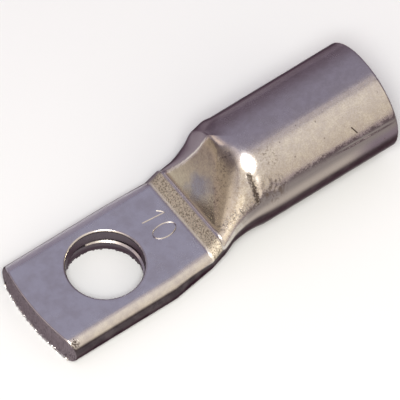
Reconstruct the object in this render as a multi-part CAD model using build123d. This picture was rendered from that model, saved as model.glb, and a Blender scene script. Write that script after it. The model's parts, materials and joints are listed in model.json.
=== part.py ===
"""Tubular cable lug: one length of copper tube, round at the cable end and pressed flat for a stud.

X runs from the palm to the barrel, Z is up and the lug lies on its flat side at Z = 0.
The origin is on the axis of the stud hole, at the underside of the palm. Millimetres.
"""
import os
from math import cos, pi, radians, sin, sqrt, tan

from build123d import *

# Barrel, the round socket for the conductor
barrel_od = 15.6
tube_wall = 1.65
barrel_length = 21.44
mouth_round = 0.35
mouth_chamfer = 0.4

# Palm, the flattened end that is bolted down
palm_width = 16.8
palm_thickness = 4.5
palm_edge = 2.3
hole_to_front = 11.8
front_radius = 34.4
front_roll = 0.2

# Stud hole, clearance for an M10 stud, with the rolled rim that the punch leaves where it goes in
stud_hole_d = 10.5
hole_rim = 0.3

# Pressed transition from the palm up to the barrel
hole_to_crease = 12.1
crease_run = 1.74
crease_rise = 1.6
slope_angle = 61.0
slope_start = 0.08
slope_end = 0.4
hole_to_heel = 5.76
heel_run = 10.07
heel_power = 3.1
root_edge = 1.1

# The press leans: a ridge runs up to a horn on the left of the slope, a soft cone lies on its right
ridge_angle = 40.0
horn_offset = 3.03
horn_width = 0.6
horn_share = 0.75
right_waist = 0.66
left_lift = -0.087
right_lift = 0.15
press_skew = 0.96

# Closed end of the socket, where the walls of the tube meet
slit_inset = 1.25
slit_height = 0.5
throat_height = 2.1
throat_side = 0.75

# Values worked out from the sizes above
barrel_radius = barrel_od / 2
bore_radius = barrel_radius - tube_wall
slit_half = bore_radius - slit_inset
foot_x = hole_to_crease + crease_run
foot_z = palm_thickness + crease_rise
steepness = 1 / (1 - slope_start / 2 - slope_end / 2)
slope_run = steepness * (barrel_od - foot_z) / tan(radians(slope_angle))
shoulder_x = foot_x + slope_run
mouth_x = shoulder_x + barrel_length
palm_flat = palm_width / 2 - palm_edge

# The socket narrows one wall behind the outer slope
wall_shift = tube_wall / sin(radians(slope_angle))
bore_end_x = shoulder_x + wall_shift
socket_foot_x = foot_x + wall_shift

# Half angle of the crown and keel arcs, into which the flats of the palm shrink on the round tube
crown_angle = 1.5

# Sections from the foot of the slope to its horn, from there to the shoulder, and through the funnel
slope_steps = 9
turn_steps = 3
funnel_steps = 4


def blend(start, end, share):
    return start + (end - start) * share


def ease(share):
    """Smooth step from 0 to 1."""
    share = min(max(share, 0.0), 1.0)
    return share * share * (3 - 2 * share)


def ramp(share):
    """Straight rise from 0 to 1 with rounded ends."""
    if share < slope_start:
        return steepness * share * share / (2 * slope_start)
    if share < 1 - slope_end:
        return steepness * (share - slope_start / 2)
    return 1 - steepness * (1 - share) ** 2 / (2 * slope_end)


def corner(start, turn, end):
    """Rounded corner along the lines to its turning point; a quarter ellipse where these are square."""
    return Bezier(start, turn, end, weights=[1, sqrt(0.5), 1])


def pressed_section(x, low, high, left, right):
    """Section across the lug: a top and a bottom flat, joined by two rounded corners on each side.

    A side is its half width, the height of its widest point, where the top flat ends, where the bottom
    flat ends, and how far the upper corner falls straight from the top flat, which makes a ridge.
    """
    plane = Plane((x, 0, 0), x_dir=(0, 1, 0), z_dir=(1, 0, 0))
    left_half, left_side, left_top, left_low, left_fall = left
    right_half, right_side, right_top, right_low, right_fall = right
    edges = [
        Line((left_top, high), (-right_top, high)),
        corner((-right_top, high), (-right_half, high - right_fall), (-right_half, right_side)),
        corner((-right_half, right_side), (-right_half, low), (-right_low, low)),
        Line((-right_low, low), (left_low, low)),
        corner((left_low, low), (left_half, low), (left_half, left_side)),
        corner((left_half, left_side), (left_half, high - left_fall), (left_top, high)),
    ]
    return plane * Wire(edges)


def even_section(x, half_width, low, high, side, low_flat, high_flat):
    """Section that is the same on both sides."""
    half = (half_width, side, high_flat, low_flat, 0)
    return pressed_section(x, low, high, half, half)


def arc(radius, start, sweep):
    """Arc about the axis of the barrel, in degrees from the left side over the top."""
    half = radians(sweep / 2)
    angles = [radians(start), radians(start) + half, radians(start + sweep)]
    reaches = [radius, radius / cos(half), radius]
    points = [(reach * cos(angle), reach * sin(angle)) for reach, angle in zip(reaches, angles)]
    return Bezier(*points, weights=[1, cos(half), 1])


def round_section(x, radius):
    """Section of the round tube, split where the pressed sections have their flats."""
    plane = Plane((x, 0, barrel_radius), x_dir=(0, 1, 0), z_dir=(1, 0, 0))
    quarter = 90 - crown_angle
    edges = [
        arc(radius, quarter, 2 * crown_angle),
        arc(radius, 90 + crown_angle, quarter),
        arc(radius, 180, quarter),
        arc(radius, 180 + quarter, 2 * crown_angle),
        arc(radius, 270 + crown_angle, quarter),
        arc(radius, 0, quarter),
    ]
    return plane * Wire(edges)


def rod(radius, start_x, end_x):
    """Round bar on the axis of the barrel."""
    bar = Cylinder(radius, end_x - start_x, align=(Align.CENTER, Align.CENTER, Align.MIN))
    return Pos(start_x, 0, barrel_radius) * Rot(0, 90, 0) * bar


def outer_section(x):
    """Outside of the lug at a station between the palm and the shoulder."""
    heel = min(max((x - hole_to_heel) / heel_run, 0.0), 1.0) ** heel_power
    share = min(max((x - foot_x) / slope_run, 0.0), 1.0)
    crease = min(max((x - hole_to_crease) / crease_run, 0.0), 1.0)
    height = blend(palm_thickness + crease_rise * crease, barrel_od, ramp(share))
    press = sin(pi * max((x - hole_to_heel) / (shoulder_x - hole_to_heel), 0.0) ** press_skew)
    left_half = blend(palm_width / 2, barrel_radius, heel)
    right_half = left_half - right_waist * press
    left_side = height * (0.5 + left_lift * press)
    right_side = height * (0.5 + right_lift * press)
    edge = blend(palm_edge, root_edge, heel)
    crown = barrel_radius * sin(radians(crown_angle))
    low_flat = blend(palm_flat, crown, heel)
    lean = min(share / horn_share, 1.0)
    turn = ease((share - horn_share) / (1 - horn_share))
    left_top = blend(blend(left_half - edge, horn_offset, 1 - (1 - lean) ** 2), crown, turn)
    right_top = blend(blend(right_half - edge, horn_width - horn_offset, lean ** 0.8), crown, turn)
    fall = (left_half - left_top) * tan(radians(ridge_angle) * sin(pi * share) ** 0.7)
    left = (left_half, left_side, left_top, low_flat, fall)
    right = (right_half, right_side, right_top, low_flat, 0)
    return pressed_section(x, 0, height, left, right)


def socket_section(share):
    """Inside of the socket, from its throat (0) to the full bore (1)."""
    x = blend(socket_foot_x, bore_end_x, share)
    rise = ease(share)
    crown = bore_radius * sin(radians(crown_angle))
    half_width = blend(slit_half, bore_radius, rise)
    high = blend(tube_wall + throat_height, barrel_od - tube_wall, rise)
    side = blend(tube_wall + throat_height * throat_side, barrel_radius, rise)
    high_flat = blend(slit_half - throat_height / 2, crown, rise)
    return even_section(x, half_width, tube_wall, high, side, crown, high_flat)


def slit_section():
    """Last of the socket, where the walls of the tube are pressed together."""
    middle = palm_thickness / 2
    half = slit_height / 2
    flat = slit_half - half
    return even_section(foot_x, slit_half, middle - half, middle + half, middle, flat, flat)


def palm():
    """Flat end with rolled long edges and a front that is cropped to a shallow arc."""
    section = Face(even_section(hole_to_heel, palm_width / 2, 0, palm_thickness, palm_thickness / 2,
                                palm_flat, palm_flat))
    bar = extrude(section, amount=hole_to_front + hole_to_heel, dir=(-1, 0, 0))
    crop = Cylinder(front_radius, palm_thickness, align=(Align.CENTER, Align.CENTER, Align.MIN))
    cropped = bar & Pos(front_radius - hole_to_front, 0, 0) * crop
    front = cropped.faces().sort_by(Axis.X)[0]
    return fillet(front.edges(), front_roll)


def transition():
    """Heel, crease and slope: the palm grows into the full tube."""
    heel_stations = [blend(hole_to_heel, hole_to_crease, k / 2) for k in range(3)]
    crease_stations = [blend(hole_to_crease, foot_x, k / 2) for k in range(3)]
    horn_x = blend(foot_x, shoulder_x, horn_share)
    slope_stations = [blend(foot_x, horn_x, k / slope_steps) for k in range(slope_steps)]
    slope_stations += [blend(horn_x, shoulder_x, k / turn_steps) for k in range(turn_steps)]
    heel = Solid.make_loft([outer_section(x) for x in heel_stations])
    crease = Solid.make_loft([outer_section(x) for x in crease_stations])
    slope_sections = [outer_section(x) for x in slope_stations]
    slope = Solid.make_loft(slope_sections + [round_section(shoulder_x, barrel_radius)])
    return heel + crease + slope


def barrel():
    """Round tube, still without its bore."""
    tube = rod(barrel_radius, shoulder_x, mouth_x)
    return fillet(tube.edges().group_by(Axis.X)[-1], mouth_round)


def socket():
    """Space for the conductor: a straight bore that closes to a slit under the slope."""
    straight = rod(bore_radius, bore_end_x, mouth_x)
    sections = [slit_section()] + [socket_section(k / funnel_steps) for k in range(funnel_steps)]
    funnel = Solid.make_loft(sections + [round_section(bore_end_x, bore_radius)])
    lead_in = Cone(bore_radius, bore_radius + mouth_chamfer, mouth_chamfer,
                   align=(Align.CENTER, Align.CENTER, Align.MAX))
    return straight + funnel + Pos(mouth_x, 0, barrel_radius) * Rot(0, 90, 0) * lead_in


def stud_hole():
    """Pierced hole, straight through the palm."""
    return Cylinder(stud_hole_d / 2, palm_thickness, align=(Align.CENTER, Align.CENTER, Align.MIN))


def entry_rim(body):
    """Upper edge of the stud hole, where the punch rolled the metal in."""
    circles = body.edges().filter_by(GeomType.CIRCLE)
    rims = circles.filter_by(lambda edge: abs(edge.radius - stud_hole_d / 2) < 1e-6)
    return rims.group_by(Axis.Z)[-1]


lug = palm() + transition() + barrel() - socket() - stud_hole()
lug = fillet(entry_rim(lug), hole_rim)

os.makedirs("parts", exist_ok=True)
export_step(lug, "parts/cable_lug.step")
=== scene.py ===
"""Looks of the tinned copper cable lug: a dense skin over the solid, its metal, floor, light and camera."""
import json
import math

import bmesh
import bpy
import numpy as np
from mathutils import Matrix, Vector

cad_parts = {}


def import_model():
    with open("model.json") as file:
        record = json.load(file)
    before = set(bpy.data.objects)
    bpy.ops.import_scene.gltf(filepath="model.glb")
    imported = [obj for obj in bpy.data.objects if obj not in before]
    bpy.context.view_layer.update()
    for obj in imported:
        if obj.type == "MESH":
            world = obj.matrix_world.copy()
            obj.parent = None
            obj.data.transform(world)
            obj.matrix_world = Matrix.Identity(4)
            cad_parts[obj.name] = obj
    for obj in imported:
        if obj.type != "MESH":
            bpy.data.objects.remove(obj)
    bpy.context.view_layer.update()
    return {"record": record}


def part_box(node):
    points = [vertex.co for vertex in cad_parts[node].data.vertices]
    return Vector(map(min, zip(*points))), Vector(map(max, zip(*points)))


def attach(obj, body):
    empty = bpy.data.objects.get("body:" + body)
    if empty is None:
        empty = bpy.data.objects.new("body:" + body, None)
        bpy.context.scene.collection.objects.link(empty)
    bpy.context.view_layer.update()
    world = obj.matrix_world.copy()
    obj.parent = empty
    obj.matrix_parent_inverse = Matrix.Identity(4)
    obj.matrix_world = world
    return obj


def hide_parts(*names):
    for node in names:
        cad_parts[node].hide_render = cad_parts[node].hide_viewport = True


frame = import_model()

MM = 0.001
mounts = {mount["name"]: mount for mount in frame["record"]["mounts"]}
low_corner, high_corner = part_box("cable_lug")

# Sizes read from the frame, in millimetres
front_x = round(low_corner.x / MM, 2)
mouth_x = high_corner.x / MM
barrel_od = round(high_corner.z / MM, 2)
palm_width = round((high_corner.y - low_corner.y) / MM, 2)
palm_thickness = mounts["washer_face"]["pos_m"][2] / MM
stud_radius = mounts["stud_hole"]["dims"]["r_mm"]
bore_radius = mounts["cable_bore"]["dims"]["r_mm"]

# Sizes of the pressed form, in millimetres, as in the solid
front_radius = 34.4
palm_edge = 2.3
crease_x = 12.1
crease_run = 1.74
crease_rise = 1.6
heel_x = 5.76
heel_run = 10.07
heel_power = 3.1
root_edge = 1.1
right_waist = 0.66
left_lift = -0.087
right_lift = 0.15
press_skew = 0.96
slope_angle = math.radians(61.0)
slope_start = 0.08
slope_end = 0.4
horn_y = 3.03
horn_width = 0.6
horn_share = 0.75
ridge_angle = math.radians(40.0)
crown_angle = math.radians(1.5)
mouth_round = 0.35
mouth_chamfer = 0.4
slit_inset = 1.25
slit_height = 0.5
throat_height = 2.1
throat_side = 0.75

# Values worked out from the sizes above
barrel_radius = barrel_od / 2
tube_wall = barrel_radius - bore_radius
foot_x = crease_x + crease_run
foot_z = palm_thickness + crease_rise
slope_run = (barrel_od - foot_z) / math.tan(slope_angle) / (1 - slope_start / 2 - slope_end / 2)
shoulder_x = foot_x + slope_run
wall_shift = tube_wall / math.sin(slope_angle)
bore_end_x = shoulder_x + wall_shift
socket_foot_x = foot_x + wall_shift
slit_half = bore_radius - slit_inset
palm_flat = palm_width / 2 - palm_edge

# Camera, fitted to the outlines of the photographed lug
aim = Vector((16.212, 1.132, 4.0)) * MM
camera_azimuth = math.radians(36.02)
camera_elevation = math.radians(56.77)
camera_distance = 1.5
frame_pixels = 400
pixels_per_mm = 7.587
frame_width = frame_pixels / pixels_per_mm * MM
sensor = 36.0

# Columns of the skin: along each flat, and along each of the four rounded corners
flat_columns = 48
corner_columns = 56
columns = 2 * flat_columns + 4 * corner_columns

# Rows of the grids that close the skin, on the front face and at the end of the slit
front_rows = 24
slit_rows = 2


def blend(start, end, share):
    return start + (end - start) * share


def clamp(value):
    return np.clip(value, 0.0, 1.0)


def ease(share):
    """Smooth step from 0 to 1."""
    share = clamp(share)
    return share * share * (3 - 2 * share)


def ramp(share):
    """Straight rise from 0 to 1 with rounded ends."""
    share = clamp(share)
    steep = 1 / (1 - slope_start / 2 - slope_end / 2)
    if share < slope_start:
        return steep * share * share / (2 * slope_start)
    if share < 1 - slope_end:
        return steep * (share - slope_start / 2)
    return 1 - steep * (1 - share) ** 2 / (2 * slope_end)


def bump(distance, width):
    """Bell of height 1 and the given half width."""
    return np.exp(-(distance / width) ** 2)


def direction(azimuth, elevation):
    """Unit vector from the lug towards a camera or lamp; azimuth 0 is the -Y side and turns towards -X."""
    return Vector((-math.sin(azimuth) * math.cos(elevation), -math.cos(azimuth) * math.cos(elevation),
                   math.sin(elevation)))


# Sections across the lug

def conic(start, corner, end):
    """Curve that leaves start and reaches end along the lines to the corner; a quarter ellipse if square."""
    steps = np.linspace(0, 1, 4 * corner_columns + 1)[:, None]
    weights = [(1 - steps) ** 2, math.sqrt(2) * steps * (1 - steps), steps ** 2]
    total = sum(weights)
    return sum(weight * np.array(point) for weight, point in zip(weights, (start, corner, end))) / total


def half_section(low, high, half_width, side, top_flat, low_flat, fall=0.0):
    """Left half of a section, from the end of its top flat round the widest point to its bottom flat.

    A fall tilts the corner where it leaves the top flat, so that the two meet in a ridge.
    """
    top = conic((top_flat, high), (half_width, high - fall), (half_width, side))
    bottom = conic((half_width, side), (half_width, low), (low_flat, low))
    return top, bottom


def section(left, right, even):
    """Points (y, z) round a section, from the left end of its top flat over the top to the right.

    even 0 keeps the columns on the ends of the flats, 1 spreads them evenly.
    """
    top_left, bottom_left = left
    top_right, bottom_right = (half * (-1, 1) for half in right)
    top = np.array([top_left[0], top_right[0]])
    bottom = np.array([bottom_right[-1], bottom_left[-1]])
    pieces = [top, top_right, bottom_right, bottom, bottom_left[::-1], top_left[::-1]]
    counts = [flat_columns, corner_columns, corner_columns, flat_columns, corner_columns, corner_columns]
    line = np.concatenate([piece[:-1] for piece in pieces] + [top[:1]])
    along = np.concatenate([[0], np.cumsum(np.hypot(*np.diff(line, axis=0).T))])
    joints = along[np.cumsum([0] + [len(piece) - 1 for piece in pieces])]
    index = np.arange(columns)
    aligned = np.interp(index, np.cumsum([0] + counts), joints)
    spread = top_left[0][0] + along[-1] * (index - flat_columns / 2) / columns
    place = np.mod(blend(aligned, spread, even), along[-1])
    return np.column_stack([np.interp(place, along, line[:, 0]), np.interp(place, along, line[:, 1])])


def even_section(half_width, low, high, side, low_flat, top_flat, even):
    half = half_section(low, high, half_width, side, top_flat, low_flat)
    return section(half, half, even)


def outer_section(x):
    """Outside of the lug at a station: on the slope a ridge on the left and a soft cone on the right."""
    heel = clamp((x - heel_x) / heel_run) ** heel_power
    share = clamp((x - foot_x) / slope_run)
    height = blend(palm_thickness + crease_rise * clamp((x - crease_x) / crease_run), barrel_od, ramp(share))
    press = math.sin(math.pi * clamp((x - heel_x) / (shoulder_x - heel_x)) ** press_skew)
    left_half = blend(palm_width / 2, barrel_radius, heel)
    right_half = left_half - right_waist * press
    edge = blend(palm_edge, root_edge, heel)
    crown = barrel_radius * math.sin(crown_angle)
    low_flat = blend(palm_flat, crown, heel)
    lean = clamp(share / horn_share)
    turn = ease((share - horn_share) / (1 - horn_share))
    left_flat = blend(blend(left_half - edge, horn_y, 1 - (1 - lean) ** 2), crown, turn)
    right_flat = blend(blend(right_half - edge, horn_width - horn_y, lean ** 0.8), crown, turn)
    left_side = height * (0.5 + left_lift * press)
    right_side = height * (0.5 + right_lift * press)
    fall = (left_half - left_flat) * math.tan(ridge_angle * math.sin(math.pi * share) ** 0.7)
    left = half_section(0.0, height, left_half, left_side, left_flat, low_flat, fall)
    right = half_section(0.0, height, right_half, right_side, right_flat, low_flat)
    return section(left, right, ease((x - shoulder_x + 0.5) / 9.0))


def socket_section(share):
    """Inside of the socket, from its throat (0) to the full bore (1)."""
    rise = ease(share)
    crown = bore_radius * math.sin(crown_angle)
    half_width = blend(slit_half, bore_radius, rise)
    high = blend(tube_wall + throat_height, barrel_od - tube_wall, rise)
    side = blend(tube_wall + throat_height * throat_side, barrel_radius, rise)
    high_flat = blend(slit_half - throat_height / 2, crown, rise)
    return even_section(half_width, tube_wall, high, side, crown, high_flat, share)


def slit_section():
    """Closed end of the socket, where the walls of the tube meet."""
    middle = palm_thickness / 2
    half = slit_height / 2
    flat = slit_half - half
    return even_section(slit_half, middle - half, middle + half, middle, flat, flat, 0.0)


def circle_section(radius):
    crown = radius * math.sin(crown_angle)
    low, high = barrel_radius - radius, barrel_radius + radius
    return even_section(radius, low, high, barrel_radius, crown, crown, 1.0)


def inward(points):
    """Unit directions from the points of a section towards its inside."""
    along = np.roll(points, -1, axis=0) - np.roll(points, 1, axis=0)
    normal = np.column_stack([-along[:, 1], along[:, 0]])
    return normal / np.linalg.norm(normal, axis=1, keepdims=True)


# Lines along which the finish changes, and along which highlights are painted, in millimetres
crease_mark = [(19.96, -4.55, 13.5), (19.86, -5.95, 12.1), (19.67, -7.05, 10.5)]
hem_mark = [(19.28, -7.05, 10.25), (17.04, -6.4, 9.25), (14.71, -5.55, 6.85)]
ridge_highlight_mark = [(14.2, 6.05, 6.35), (15.95, 4.38, 9.4), (17.33, 3.42, 11.9), (19.0, 3.0, 14.58),
              (19.47, 0.7, 14.87)]
burnish_and_highlight_mark = [(20.9, -5.35, 13.3), (20.5, -6.55, 11.95), (20.1, -7.3, 10.3)]
scratch_mark = [(35.63, -6.05, 12.78), (36.11, -6.67, 11.9)]
seam_mark = [(19.0, -0.9, 14.1), (15.0, -3.4, 7.4)]

# Marks of the press: from, to, half width and depth; a negative depth is raised
press_marks = [
    ((20.0, -4.1, 13.8), (19.65, -7.3, 10.1), 0.27, 0.24),
    ((20.9, -5.2, 13.4), (20.1, -7.4, 9.9), 0.4, -0.13),
    ((22.0, -6.4, 12.2), (22.9, -7.2, 10.9), 0.45, 0.06),
    ((17.6, 6.2, 8.8), (22.2, 7.6, 11.4), 1.6, -0.24),
    ((31.6, -7.15, 10.92), (43.2, -7.35, 10.45), 0.13, 0.05),
]

# Spot on the shoulder that is pressed nearly flat
flat_mark = (20.25, -3.35, 14.75)
flat_width = 1.25
flat_share = 0.7


def marked(points):
    """Points of the outside, moved in or out by the marks, which run out at their ends."""
    centre = np.array([0.0, 0.0, palm_thickness / 2])
    inwards = (centre - points) * (0.0, 1.0, 1.0)
    inwards /= np.linalg.norm(inwards, axis=-1, keepdims=True)
    moved = points.copy()
    for start, end, width, depth in press_marks:
        start, reach = np.array(start), np.array(end) - np.array(start)
        share = clamp((points - start) @ reach / (reach @ reach))
        offset = points - start - share[..., None] * reach
        offset -= inwards * (offset * inwards).sum(axis=-1, keepdims=True)
        away = np.linalg.norm(offset, axis=-1)
        fade = ease(share / 0.3) * ease((1 - share) / 0.3)
        moved += inwards * (depth * fade * bump(away, width))[..., None]
    return moved


def flattened(points):
    """Points of the outside with a small spot pressed nearly flat on the shoulder."""
    away = np.linalg.norm(points - np.array(flat_mark), axis=-1)
    middle = points[np.unravel_index(np.argmin(away), away.shape)]
    facing = np.array(direction(camera_azimuth, camera_elevation))
    above = (points - middle) @ facing
    near = bump(np.linalg.norm(points - middle, axis=-1), flat_width)
    return points - facing * (flat_share * above * near)[..., None]


# Rings of the skin, from the front edge over the outside to the mouth and back inside

front_length = 5.6
front_roll_top = 0.42
front_roll_low = 0.12
softening_passes = 220


def ring(x, points):
    return np.column_stack([np.broadcast_to(x, len(points)), points])


def torn(along):
    """Uneven line of a sheared edge, between -1 and 1."""
    lines = np.sin(9.1 * along + 1.3 * np.sin(2.3 * along)) + 0.7 * np.sin(17.3 * along + 0.9)
    return (lines + 0.6 * np.sin(31.7 * along + 2.1)) / 2.3


def front_rings():
    """Rounded front edge and the first of the palm, where the stations go from the arc to straight."""
    points = outer_section(front_x)
    roll = blend(front_roll_low, front_roll_top, ease(points[:, 1] / palm_thickness))
    arc = front_radius - np.sqrt(front_radius ** 2 - points[:, 0] ** 2)
    rings = []
    for angle in np.linspace(0, math.pi / 2, 6):
        inset = roll * (1 - math.sin(angle))
        moved = points + inward(points) * inset[:, None]
        ragged = torn(points[:, 0]) * ease(1 - points[:, 1] / 1.4) * (1 - math.sin(angle))
        moved[:, 1] += 0.22 * clamp(ragged)
        rings.append(ring(front_x + arc + roll * (1 - math.cos(angle)) + 0.1 * ragged, moved))
    start = front_x + arc + roll
    for share in np.linspace(0, 1, 17)[1:-1]:
        rings.append(ring(blend(start, front_x + front_length, share), points))
    return rings


def softened(rings):
    """Rings of the outside with a softer shoulder; the ridge and what lies before it stay sharp."""
    x, y, z = np.moveaxis(rings, 2, 0)
    horn_x = foot_x + horn_share * slope_run
    share = ease((x - horn_x + 2.2 * ease((1.0 - y) / 2.0)) / 0.8) * ease((9.5 - y) / 6.5)
    share *= ease((shoulder_x + 3.4 - x) / 1.2) * ease((z - 3.0) / 3.0)
    soft = rings.copy()
    for step in range(softening_passes):
        soft[1:-1] = blend(soft[1:-1], (soft[:-2] + soft[2:]) / 2, 0.5 * share[1:-1, :, None])
    return soft


def outer_rings():
    stations = np.concatenate([
        np.linspace(front_x + front_length, heel_x, 16)[:-1],
        np.linspace(heel_x, crease_x - 0.5, 16)[:-1],
        np.linspace(crease_x - 0.5, shoulder_x + 2.4, 120)[:-1],
        np.linspace(shoulder_x + 2.4, mouth_x - mouth_round, 40),
    ])
    sharp = np.array([ring(x, outer_section(x)) for x in stations])
    return list(marked(flattened(softened(sharp))))


def mouth_rings():
    """Rounded outer edge, end face and lead-in of the barrel's mouth."""
    rings = []
    for angle in np.linspace(0, math.pi / 2, 7)[1:]:
        radius = barrel_radius - mouth_round * (1 - math.cos(angle))
        rings.append(ring(mouth_x - mouth_round * (1 - math.sin(angle)), circle_section(radius)))
    face = np.linspace(barrel_radius - mouth_round, bore_radius + mouth_chamfer, 5)[1:]
    rings += [ring(mouth_x, circle_section(radius)) for radius in face]
    for share in np.linspace(0, 1, 4)[1:]:
        radius = bore_radius + mouth_chamfer * (1 - share)
        rings.append(ring(mouth_x - mouth_chamfer * share, circle_section(radius)))
    return rings


def socket_rings():
    """Bore and the funnel that closes to a slit."""
    stations = np.linspace(mouth_x - mouth_chamfer, bore_end_x, 16)[1:]
    rings = [ring(x, circle_section(bore_radius)) for x in stations]
    for share in np.linspace(1, 0, 13)[1:]:
        rings.append(ring(blend(socket_foot_x, bore_end_x, share), socket_section(share)))
    rings.append(ring(foot_x, slit_section()))
    return rings


def cap_faces(first, vertices, points, rows, rough):
    """Grid that closes a ring: its upper half is joined to its lower half, with new points between."""
    widest = columns - corner_columns
    half = columns // 2
    upper = [(widest + step) % columns for step in range(half + 1)]
    lower = [(widest - step) % columns for step in range(half + 1)]
    grid = []
    for top, bottom in zip(upper, lower):
        line = [first + top]
        if top != bottom:
            for row in range(1, rows):
                place = blend(points[top], points[bottom], row / rows)
                line.append(len(vertices))
                vertices.append(place + rough(place))
        line.append(first + bottom)
        grid.append(line)
    faces = []
    for left, right in zip(grid[:-1], grid[1:]):
        for row in range(rows):
            if len(left) == 2 and left[0] == left[1]:
                faces.append((left[0], right[row], right[row + 1]))
            elif len(right) == 2 and right[0] == right[1]:
                faces.append((left[row], right[0], left[row + 1]))
            else:
                faces.append((left[row], right[row], right[row + 1], left[row + 1]))
    return faces


def sheared(place):
    """Steps and tears of the cropped front face."""
    x, y, z = place
    steps = 0.09 * torn(y + 0.12 * z) * (1 - z / palm_thickness) ** 0.7
    chips = clamp(torn(2.7 * y + 1.9 * z) - 0.3) * ease(1 - z / 1.0)
    return np.array([steps - 0.35 * chips, 0.0, 0.0])


def smooth(place):
    return np.zeros(3)


def skin_mesh(name, rings):
    """One closed mesh from the rings, in metres, with a grid on each end."""
    vertices = [point for points in rings for point in points]
    faces = []
    for k in range(len(rings) - 1):
        for j in range(columns):
            after = (j + 1) % columns
            start, end = k * columns, (k + 1) * columns
            faces.append((start + j, start + after, end + after, end + j))
    last = (len(rings) - 1) * columns
    faces += cap_faces(0, vertices, rings[0], front_rows, sheared)
    faces += cap_faces(last, vertices, rings[-1], slit_rows, smooth)
    mesh = bpy.data.meshes.new(name)
    mesh.from_pydata([tuple(point * MM) for point in vertices], [], faces)
    outward = bmesh.new()
    outward.from_mesh(mesh)
    bmesh.ops.recalc_face_normals(outward, faces=outward.faces[:])
    outward.to_mesh(mesh)
    outward.free()
    return mesh


def add_object(name, mesh):
    made = bpy.data.objects.new(name, mesh)
    bpy.context.scene.collection.objects.link(made)
    return made


# Stud hole

rim_roll = 0.4
seam_z = 2.25
lower_layer = 0.1
lower_shift = 0.17
lower_flare = 0.3
torn_depth = 0.15


def hole_cutter():
    """Turned cutter: rolled rim on top, a bevelled step where the layers meet, a torn lower edge."""
    turns = 360
    low = stud_radius - lower_layer
    levels = [-1.0, 0.0, 0.15, 0.35, 0.6, 0.9, 1.2, 1.6, seam_z - 0.19]
    profile = [(z, low + lower_flare * ease(1 - z / 1.4)) for z in levels]
    profile += [(seam_z, stud_radius + 0.03), (seam_z + 0.12, stud_radius), (3.2, stud_radius)]
    for angle in np.linspace(0, math.pi / 2, 7):
        height = palm_thickness - rim_roll * (1 - math.sin(angle))
        profile.append((height, stud_radius + rim_roll * (1 - math.cos(angle))))
    profile.append((palm_thickness + 1.0, stud_radius + rim_roll))
    vertices = []
    for z, radius in profile:
        for k in range(turns):
            turn = 2 * math.pi * k / turns
            teeth = 0.3 * math.sin(13 * turn) + 0.35 * math.sin(31 * turn + 1.0)
            teeth += 0.35 * math.sin(67 * turn + 2.0)
            reach = radius - torn_depth * max(teeth, -0.3) * bump(z - 0.05, 0.3) * (z < 1.2)
            shift = lower_shift * (z < seam_z)
            vertices.append(((reach * math.cos(turn) - shift) * MM, reach * math.sin(turn) * MM, z * MM))
    faces = []
    for level in range(len(profile) - 1):
        for k in range(turns):
            after = (k + 1) % turns
            start, above = level * turns, (level + 1) * turns
            faces.append((start + k, start + after, above + after, above + k))
    faces.append(tuple(range(turns))[::-1])
    faces.append(tuple(range((len(profile) - 1) * turns, len(profile) * turns)))
    mesh = bpy.data.meshes.new("hole_cutter")
    mesh.from_pydata(vertices, [], faces)
    return add_object("hole_cutter", mesh)


# Flakes of torn metal along the lower front edge

flakes = 26
flake_reach = 7.3
flake_root = (0.5, 0.0, 0.0)


def add_burr(piece):
    """Flakes that stand out of the sheared face, each a small pyramid with its root inside.

    They are turned towards the photographed view, where they catch the light.
    """
    rng = np.random.default_rng(7)
    body = bmesh.new()
    body.from_mesh(piece.data)
    for flake in range(flakes):
        y = rng.uniform(-flake_reach, flake_reach)
        arc = front_radius - math.sqrt(front_radius ** 2 - y ** 2)
        middle = np.array([front_x + arc - rng.uniform(0.0, 0.1), y, rng.uniform(0.25, 0.85)])
        facing = np.array(direction(camera_azimuth, camera_elevation)) + rng.normal(0.0, 0.1, 3)
        across = np.cross(facing, (0.0, 1.0, 0.0))
        along = np.cross(across, facing)
        size = rng.uniform(0.09, 0.2)
        turns = rng.uniform(0.0, 2.0) + np.array([0.0, 2.1, 4.2])
        corners = [middle + size * (math.cos(turn) * across + math.sin(turn) * along) for turn in turns]
        corners.append(middle + flake_root)
        a, b, c, root = [body.verts.new(tuple(point * MM)) for point in corners]
        faces = [body.faces.new(corner) for corner in ((a, b, c), (a, b, root), (b, c, root), (c, a, root))]
        bmesh.ops.recalc_face_normals(body, faces=faces)
    body.to_mesh(piece.data)
    body.free()


# Plain number stamped into the palm, the size of the stud

stamp_width = 0.2
stamp_depth = 0.09
stamp_turns = np.linspace(0, 2 * math.pi, 48, endpoint=False)
stamp_nought = np.column_stack([9.42 + 1.72 * np.cos(stamp_turns), -0.25 + 1.02 * np.sin(stamp_turns)])
stamp_one = np.array([(7.7, 2.35), (9.4, 2.2), (11.14, 2.05)])
stamp_flag = np.array([(11.0, 2.2), (10.72, 2.55), (10.36, 2.88)])


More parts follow.
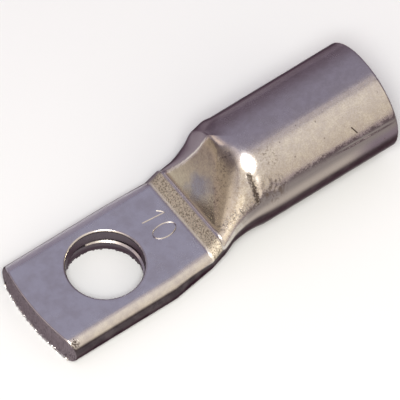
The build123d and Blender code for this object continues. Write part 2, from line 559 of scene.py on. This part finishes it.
def stroke_cutter(path, closed):
    """V-shaped cutter along a stroke of a figure, which stands with its head towards the barrel."""
    if closed:
        along = np.roll(path, -1, axis=0) - np.roll(path, 1, axis=0)
    else:
        along = np.gradient(path, axis=0)
    across = np.column_stack([-along[:, 1], along[:, 0]]) / np.linalg.norm(along, axis=1, keepdims=True)
    vertices = []
    for point, side in zip(path, across):
        for offset, height in ((stamp_width, stamp_depth), (0, -stamp_depth), (-stamp_width, stamp_depth)):
            vertices.append((*((point + side * offset) * MM), (palm_thickness + height) * MM))
    count = len(path)
    faces = []
    for k in range(count if closed else count - 1):
        start, end = 3 * k, 3 * ((k + 1) % count)
        for j in range(3):
            after = (j + 1) % 3
            faces.append((start + j, start + after, end + after, end + j))
    if not closed:
        faces += [(0, 2, 1), (3 * count - 3, 3 * count - 2, 3 * count - 1)]
    mesh = bpy.data.meshes.new("stroke_cutter")
    mesh.from_pydata(vertices, [], faces)
    outward = bmesh.new()
    outward.from_mesh(mesh)
    bmesh.ops.recalc_face_normals(outward, faces=outward.faces[:])
    outward.to_mesh(mesh)
    outward.free()
    return add_object("stroke_cutter", mesh)


def cut(piece, cutter):
    """Takes the cutter's space out of the piece and removes the cutter."""
    modifier = piece.modifiers.new("cut", "BOOLEAN")
    modifier.operation = "DIFFERENCE"
    modifier.solver = "EXACT"
    modifier.object = cutter
    bpy.context.view_layer.update()
    result = bpy.data.meshes.new_from_object(piece.evaluated_get(bpy.context.evaluated_depsgraph_get()))
    piece.modifiers.clear()
    piece.data = result
    bpy.data.objects.remove(cutter)


# Material

sharp_angle = math.radians(38)


def new_material(name):
    material = bpy.data.materials.new(name)
    material.use_nodes = True
    material.node_tree.nodes.clear()
    return material


class Nodes:
    """Short names for the node types that the materials use."""

    def __init__(self, tree):
        self.tree = tree

    def add(self, kind, settings=None, **inputs):
        node = self.tree.nodes.new(kind)
        for key, value in (settings or {}).items():
            setattr(node, key, value)
        for key, value in inputs.items():
            self.put(node.inputs[key.replace("_", " ")], value)
        return node

    def put(self, socket, value):
        if isinstance(value, bpy.types.NodeSocket):
            self.tree.links.new(value, socket)
        else:
            socket.default_value = value

    def math(self, operation, first, second=0.0):
        node = self.tree.nodes.new("ShaderNodeMath")
        node.operation = operation
        self.put(node.inputs[0], first)
        self.put(node.inputs[1], second)
        return node.outputs[0]

    def scaled(self, vector, scale):
        return self.vector("MULTIPLY", vector, scale).outputs[0]

    def distance(self, vector, point):
        return self.vector("DISTANCE", vector, point).outputs["Value"]

    def beside(self, vector, points):
        """Distance from a line through the points."""
        nearest = None
        for start, end in zip(points[:-1], points[1:]):
            reach = Vector(end) - Vector(start)
            offset = self.vector("SUBTRACT", vector, start).outputs[0]
            share = self.vector("DOT_PRODUCT", offset, reach / reach.length_squared).outputs["Value"]
            foot = self.vector("SCALE", reach)
            self.put(foot.inputs["Scale"], self.range(share, 0.0, 1.0, smooth=False))
            away = self.vector("DISTANCE", offset, foot.outputs[0]).outputs["Value"]
            nearest = away if nearest is None else self.math("MINIMUM", nearest, away)
        return nearest

    def vector(self, operation, first, second=(0.0, 0.0, 0.0)):
        node = self.tree.nodes.new("ShaderNodeVectorMath")
        node.operation = operation
        self.put(node.inputs[0], first)
        self.put(node.inputs[1], second)
        return node

    def noise(self, vector, scale, detail=3.0, rough=0.5):
        node = self.add("ShaderNodeTexNoise", Vector=vector, Scale=scale, Detail=detail, Roughness=rough)
        return node.outputs[0]

    def range(self, value, start, end, to_start=0.0, to_end=1.0, smooth=True):
        node = self.tree.nodes.new("ShaderNodeMapRange")
        node.interpolation_type = "SMOOTHSTEP" if smooth else "LINEAR"
        self.put(node.inputs[0], value)
        for k, number in enumerate((start, end, to_start, to_end)):
            node.inputs[k + 1].default_value = number
        return node.outputs[0]

    def mix(self, share, first, second):
        node = self.tree.nodes.new("ShaderNodeMix")
        node.data_type = "RGBA"
        self.put(node.inputs[0], share)
        self.put(node.inputs[6], first)
        self.put(node.inputs[7], second)
        return node.outputs[2]


def tinned_copper():
    """Satin tin plating, golden in the crease, stained on the slope; painted into its colour are a blue-grey
    reflection on the palm flat, light on the -Y side, shade on the far side and underneath, and highlights
    along the ridge.
    """
    material = new_material("tinned_copper")
    n = Nodes(material.node_tree)
    place = n.scaled(n.add("ShaderNodeTexCoord").outputs["Object"], (1 / MM, 1 / MM, 1 / MM))
    x, y, z = n.add("ShaderNodeSeparateXYZ", Vector=place).outputs
    facing_x, facing_y, facing_z = n.add(
        "ShaderNodeSeparateXYZ", Vector=n.add("ShaderNodeNewGeometry").outputs["Normal"]).outputs

    mottle = n.noise(place, 0.55, 4.0, 0.6)
    cloud = n.noise(place, 0.16, 2.0)
    grain = n.noise(place, 7.0, 2.0)
    fine = n.noise(place, 4.5, 3.0, 0.7)
    drawn = n.noise(n.scaled(place, (0.06, 1.6, 1.6)), 2.2, 3.0)

    # Where the finish changes, and where light and shade are painted into the colour
    band = n.math("MULTIPLY", n.range(x, crease_x - 0.15, crease_x + 0.2), n.range(x, 13.6, 13.9, 1.0, 0.0))
    band = n.math("MULTIPLY", band, n.range(facing_z, 0.1, 0.4))
    # Palm flat, facing up: takes a painted blue-grey reflection
    palm = n.math("MULTIPLY", n.range(x, crease_x, crease_x - 0.5), n.range(facing_z, 0.95, 0.997))
    # Front face: rough sheared metal, its colour darkened partly by its own finish and partly by painted
    # shade
    front = n.range(facing_x, -0.5, -0.8)
    front = n.math("MULTIPLY", front, n.range(x, front_x + 3.0, front_x + 2.5))
    slope = n.math("MULTIPLY", n.range(facing_x, -0.45, -0.75), n.range(x, 13.9, 14.3))
    slope = n.math("MULTIPLY", slope, n.range(facing_y, -0.4, -0.15))
    # Painted shade: faces turned to the far side (+Y) are darkened
    far_side_painted_shade = n.math("SUBTRACT", facing_y, n.math("MULTIPLY", facing_x, 0.4))
    far_side_painted_shade = n.range(n.math("SUBTRACT", far_side_painted_shade, n.range(x, 8.0, 14.0, 0.13, 0.0)), 0.55, 0.72)
    # Painted shade: faces that turn down are darkened, from a steeper slope on the palm than on the barrel,
    # standing in for the shadowed floor they reflect
    below = n.math("SUBTRACT", facing_z, n.range(x, 8.0, 19.0, 0.57, 0.0))
    uneven = n.math("ADD", n.range(mottle, 0.3, 0.7, -0.04, 0.04), n.range(fine, 0.3, 0.7, -0.05, 0.05))
    # Painted shade: the lower flank of the barrel on the -Y side is darkened, standing in for a dark surround
    # it reflects
    lower = n.range(n.math("ADD", facing_z, uneven), 0.5, 0.42)
    lower = n.math("MULTIPLY", lower, n.range(facing_y, 0.1, -0.1))
    lower = n.math("MULTIPLY", lower, n.range(x, 15.0, 19.0))
    underside_painted_shade_mask = n.range(below, 0.1, -0.06)
    warm = n.range(facing_y, -0.1, -0.4)
    rim = n.math("MULTIPLY", n.range(facing_y, 0.1, 0.35), n.range(x, 12.5, 11.0))
    # Walls of the stud hole, which take a lighter painted shade
    inside = n.range(n.distance(n.scaled(place, (1.0, 1.0, 0.0)), (0.0, 0.0, 0.0)), 5.75, 5.6)
    used = n.math("MULTIPLY", warm, n.range(x, 13.0, 18.0))

    # Pits, scuffs beside the press mark, and dark specks along the shoulder
    cells = n.add("ShaderNodeTexVoronoi", Vector=place, Scale=0.85)
    picked = n.range(n.add("ShaderNodeSeparateColor", Color=cells.outputs["Color"]).outputs[0], 0.45, 0.6)
    picked = n.math("MULTIPLY", picked, n.math("MULTIPLY", used, 0.7))
    pits = n.math("MULTIPLY", n.range(cells.outputs["Distance"], 0.15, 0.07), picked)
    streaks = n.range(n.noise(n.scaled(place, (1.0, 0.45, 0.45)), 2.6, 4.0, 0.7), 0.47, 0.6)
    scuffs = n.math("MULTIPLY", n.range(n.distance(place, (22.2, -7.0, 11.2)), 2.9, 0.9), streaks)
    near = n.math("MAXIMUM", n.range(n.distance(place, (23.4, -4.2, 14.3)), 2.2, 0.7),
                  n.range(n.beside(place, seam_mark), 1.5, 0.3))
    specks = n.math("MULTIPLY", near, n.range(n.noise(place, 3.4, 6.0, 0.8), 0.52, 0.62))
    ragged = n.range(fine, 0.3, 0.7, -0.22, 0.22)
    # Darker along the press crease and the hem, and at a scratch and a nick at the front corner
    dark_lines = n.range(n.math("ADD", n.beside(place, crease_mark), ragged), 0.42, 0.12)
    dark_lines = n.math("MAXIMUM", dark_lines, n.range(n.beside(place, scratch_mark), 0.13, 0.04))
    nicked = n.math("ADD", n.distance(place, (-10.3, -7.5, 3.95)), n.math("MULTIPLY", ragged, 2.5))
    dark_lines = n.math("MAXIMUM", dark_lines, n.range(nicked, 0.55, 0.1))
    hem = n.range(n.math("ADD", n.beside(place, hem_mark), n.math("MULTIPLY", ragged, 2.0)), 0.75, 0.15)
    scattered = n.range(n.noise(place, 2.6, 6.0, 0.85), 0.5, 0.6, 0.0, 0.85)
    dark_lines = n.math("MAXIMUM", dark_lines, n.math("MULTIPLY", hem, scattered))
    worn_and_dark_lines = n.math("MAXIMUM", n.math("MAXIMUM", pits, scuffs), dark_lines)

    # Colour
    # Painted light: faces turned towards -Y are made lighter and warmer, as if lit by the warm soft boxes
    tone = n.mix(n.range(facing_y, -0.25, -0.5), (0.66, 0.635, 0.65, 1), (0.74, 0.715, 0.64, 1))
    tone = n.mix(n.range(n.noise(place, 1.1, 5.0, 0.7), 0.35, 0.65, 0.0, 0.4), tone, (0.52, 0.485, 0.50, 1))
    # Painted reflection: lighter blue-grey on the up-facing palm flat
    tone = n.mix(palm, tone, (0.81, 0.835, 0.875, 1))
    tone = n.mix(n.range(mottle, 0.35, 0.7, 0.0, 0.35), tone, (0.56, 0.53, 0.51, 1))
    tone = n.mix(n.math("MULTIPLY", used, n.range(fine, 0.35, 0.65, 0.0, 0.5)), tone, (0.50, 0.45, 0.38, 1))
    blotch = n.range(n.noise(place, 1.7, 6.0, 0.8), 0.46, 0.62)
    blotch = n.math("MULTIPLY", blotch, n.math("MULTIPLY", n.range(x, 14.0, 15.0), n.range(x, 26.0, 19.0)))
    tone = n.mix(n.math("MULTIPLY", n.math("MULTIPLY", blotch, warm), 0.5), tone, (0.40, 0.34, 0.255, 1))
    speckle = n.range(n.noise(place, 4.6, 5.0, 0.8), 0.46, 0.58)
    tone = n.mix(band, tone, n.mix(speckle, (0.72, 0.66, 0.535, 1), (0.22, 0.178, 0.125, 1)))
    border = n.math("MULTIPLY", band, n.range(x, crease_x + 0.35, crease_x + 0.1))
    tone = n.mix(border, tone, (0.86, 0.83, 0.74, 1))
    wander = n.range(mottle, 0.3, 0.7, -0.8, 0.8, smooth=False)
    patch = n.math("ADD", n.distance(place, (15.4, 0.3, 8.6)), wander)
    stain = n.mix(n.range(patch, 0.7, 3.2), (0.33, 0.325, 0.36, 1), (0.53, 0.475, 0.36, 1))
    stain = n.mix(n.math("MULTIPLY", blotch, 0.45), stain, (0.31, 0.265, 0.225, 1))
    tone = n.mix(slope, tone, stain)
    tone = n.mix(rim, tone, (0.86, 0.86, 0.90, 1))
    # Painted shade colours for the far side
    shade = n.mix(n.range(facing_y, 0.7, 0.84), (0.36, 0.315, 0.345, 1), (0.125, 0.102, 0.115, 1))
    tone = n.mix(far_side_painted_shade, tone, shade)
    # Painted highlight: a pale line along the ridge of the slope, and a pale patch beside the crease that is
    # partly burnished metal and partly painted highlight
    ridge = n.math("ADD", n.beside(place, ridge_highlight_mark), n.math("MULTIPLY", ragged, 0.6))
    burnish_and_highlight = n.math("ADD", n.beside(place, burnish_and_highlight_mark), ragged)
    painted_highlight_and_burnish = n.math("MAXIMUM", n.range(ridge, 0.34, 0.08, 0.0, 0.8), n.range(burnish_and_highlight, 0.42, 0.1, 0.0, 0.9))
    tone = n.mix(painted_highlight_and_burnish, tone, (0.93, 0.88, 0.79, 1))
    # Painted shade tones for the lower -Y flank of the barrel
    flank_painted_shade_tone = n.mix(n.range(x, 33.0, 38.5), (0.43, 0.38, 0.34, 1), (0.22, 0.18, 0.205, 1))
    tone = n.mix(lower, tone, n.mix(n.range(facing_z, 0.31, 0.13), (0.24, 0.21, 0.20, 1), flank_painted_shade_tone))
    tone = n.mix(n.math("MULTIPLY", n.math("MAXIMUM", worn_and_dark_lines, specks), 0.85), tone, (0.16, 0.125, 0.10, 1))
    tone = n.mix(n.math("MULTIPLY", dark_lines, 0.75), tone, (0.055, 0.042, 0.035, 1))
    # Painted shade colour for faces that turn down, a little lighter towards the barrel and on the stud
    # hole's walls
    underside_painted_shade = n.mix(n.range(mottle, 0.3, 0.7), (0.102, 0.084, 0.089, 1), (0.056, 0.045, 0.05, 1))
    underside_painted_shade = n.mix(n.range(x, 12.0, 17.0, 0.0, 0.03), underside_painted_shade, (1.0, 0.98, 0.93, 1))
    underside_painted_shade = n.mix(inside, underside_painted_shade, (0.145, 0.124, 0.138, 1))
    tone = n.mix(underside_painted_shade_mask, tone, underside_painted_shade)
    # Dark sheared front face: partly its own finish, partly painted shade
    tone = n.mix(front, tone, n.mix(speckle, (0.29, 0.25, 0.275, 1), (0.125, 0.105, 0.115, 1)))
    chips = n.math("MULTIPLY", front, n.range(n.math("ADD", z, n.range(fine, 0.3, 0.7, -0.4, 0.4)), 0.6, 0.3))
    tone = n.mix(chips, tone, (0.68, 0.65, 0.66, 1))

    # Roughness and relief
    rough = n.range(cloud, 0.3, 0.7, 0.17, 0.25)
    rough = n.math("ADD", rough, n.range(grain, 0.3, 0.7, -0.03, 0.04))
    rough = n.math("ADD", rough, n.range(n.distance(place, flat_mark), 2.4, 0.8, 0.0, 0.09))
    rough = n.math("ADD", rough, n.math("MULTIPLY", rim, 0.2))
    rough = n.math("ADD", rough, n.math("MULTIPLY", band, 0.22))
    rough = n.math("ADD", rough, n.math("MULTIPLY", n.math("SUBTRACT", front, chips), 0.2))
    rough = n.math("ADD", rough, n.math("MULTIPLY", worn_and_dark_lines, 0.15))
    relief = n.math("ADD", n.math("MULTIPLY", grain, 0.35), n.math("MULTIPLY", drawn, 0.35))
    rugged = n.math("ADD", band, front)
    relief = n.math("ADD", relief, n.math("MULTIPLY", n.math("MULTIPLY", rugged, speckle), -1.5))
    relief = n.math("ADD", relief, n.math("MULTIPLY", worn_and_dark_lines, -1.2))
    relief = n.math("ADD", relief, n.math("MULTIPLY", n.math("MULTIPLY", used, mottle), 1.6))
    raised = n.add("ShaderNodeBump", Strength=0.4, Distance=0.025 * MM, Height=relief)

    shader = n.add("ShaderNodeBsdfPrincipled", Metallic=1.0, Base_Color=tone, Roughness=rough,
                   Normal=raised.outputs[0])
    # Darker edge tint on the far side: painted shade in the reflection
    n.put(shader.inputs["Specular Tint"], n.mix(far_side_painted_shade, (0.35, 0.31, 0.33, 1), (0.19, 0.16, 0.18, 1)))
    n.add("ShaderNodeOutputMaterial", Surface=shader.outputs[0])
    return material


# Floor, light and camera

# The floor's colour is a painted pool of light: pale round the lug and darker further out, where the metal
# reflects it; metres
floor_half = 3.0
pale_reach = 0.044
dark_from = 0.062
key_distance = 0.7


def place_camera():
    data = bpy.data.cameras.new("camera")
    data.sensor_width = sensor
    data.lens = sensor * camera_distance / frame_width
    data.clip_start = 0.01
    data.clip_end = 10.0
    camera = add_object("camera", data)
    back = direction(camera_azimuth, camera_elevation)
    camera.location = aim + back * camera_distance
    camera.rotation_mode = "QUATERNION"
    camera.rotation_quaternion = (-back).to_track_quat("-Z", "Y")
    bpy.context.scene.camera = camera


def panel(name, centre, target, width, height, radiance, colour):
    """Soft box: a rectangle that shines at the target with the given brightness all over."""
    data = bpy.data.lights.new(name, "AREA")
    data.shape = "RECTANGLE"
    data.size = width
    data.size_y = height
    data.energy = radiance * math.pi * width * height
    data.color = colour
    lamp = add_object(name, data)
    lamp.location = centre
    lamp.rotation_mode = "QUATERNION"
    lamp.rotation_quaternion = (Vector(target) - Vector(centre)).to_track_quat("-Z", "Y")


def floor():
    mesh = bpy.data.meshes.new("floor")
    corners = [(x * floor_half, y * floor_half, 0) for x, y in ((-1, -1), (1, -1), (1, 1), (-1, 1))]
    mesh.from_pydata(corners, [], [(0, 1, 2, 3)])
    made = add_object("floor", mesh)
    material = new_material("floor")
    n = Nodes(material.node_tree)
    place = n.add("ShaderNodeTexCoord").outputs["Object"]
    away = n.range(n.distance(place, (aim.x, aim.y, 0)), pale_reach, dark_from)
    # Painted pool of light: pale near the lug, dark further out
    colour = n.mix(away, (0.91, 0.945, 0.935, 1), (0.34, 0.29, 0.34, 1))
    shader = n.add("ShaderNodeBsdfDiffuse", Color=colour)
    n.add("ShaderNodeOutputMaterial", Surface=shader.outputs[0])
    mesh.materials.append(material)


def world():
    made = bpy.data.worlds.new("world")
    made.use_nodes = True
    made.node_tree.nodes.clear()
    n = Nodes(made.node_tree)
    place = n.add("ShaderNodeTexCoord").outputs["Generated"]
    height = n.add("ShaderNodeSeparateXYZ", Vector=place).outputs[2]
    colour = n.mix(n.range(height, 0.1, 0.9), (0.20, 0.155, 0.195, 1), (0.34, 0.31, 0.385, 1))
    shader = n.add("ShaderNodeBackground", Color=colour)
    n.add("ShaderNodeOutputWorld", Surface=shader.outputs[0])
    bpy.context.scene.world = made


skin = front_rings() + outer_rings() + mouth_rings() + socket_rings()
lug = add_object("lug_body", skin_mesh("lug_body", skin))
cut(lug, hole_cutter())
cut(lug, stroke_cutter(stamp_nought, True))
cut(lug, stroke_cutter(stamp_one, False))
cut(lug, stroke_cutter(stamp_flag, False))
add_burr(lug)
lug.data.shade_smooth()
lug.data.set_sharp_from_angle(angle=sharp_angle)
lug.data.materials.clear()
lug.data.materials.append(tinned_copper())
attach(lug, "root")
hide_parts("cable_lug")

floor()
world()
panel("right_softbox", (-0.02, -0.19, 0.15), (0.0, 0, 0.005), 0.8, 0.38, 0.6, (1.0, 0.90, 0.70))
panel("upper_softbox", (0.13, -0.05, 0.30), (0.13, -0.01, 0.0), 0.25, 0.055, 0.36, (1.0, 0.88, 0.66))
panel("shoulder_softbox", (-0.28, -0.06, 0.36), (0.02, 0, 0.01), 0.28, 0.28, 0.5, (1.0, 0.86, 0.64))
panel("front_card", (-0.24, -0.09, 0.055), (0.015, 0, 0.008), 0.22, 0.11, 0.6, (1.0, 0.9, 0.71))
panel("low_card", (-0.075, -0.03, 0.016), (0.017, -0.03, 0.014), 0.2, 0.032, 0.36, (1.0, 0.88, 0.68))
panel("left_softbox", (-0.32, 0.22, 0.36), (0.015, 0, 0.005), 0.16, 0.16, 0.5, (1.0, 0.78, 0.55))
key = direction(camera_azimuth, camera_elevation) * key_distance + aim
panel("key_lamp", key, aim, 0.2, 0.2, 25.5, (1.0, 0.98, 0.96))
place_camera()
bpy.context.scene.view_settings.view_transform = "Standard"
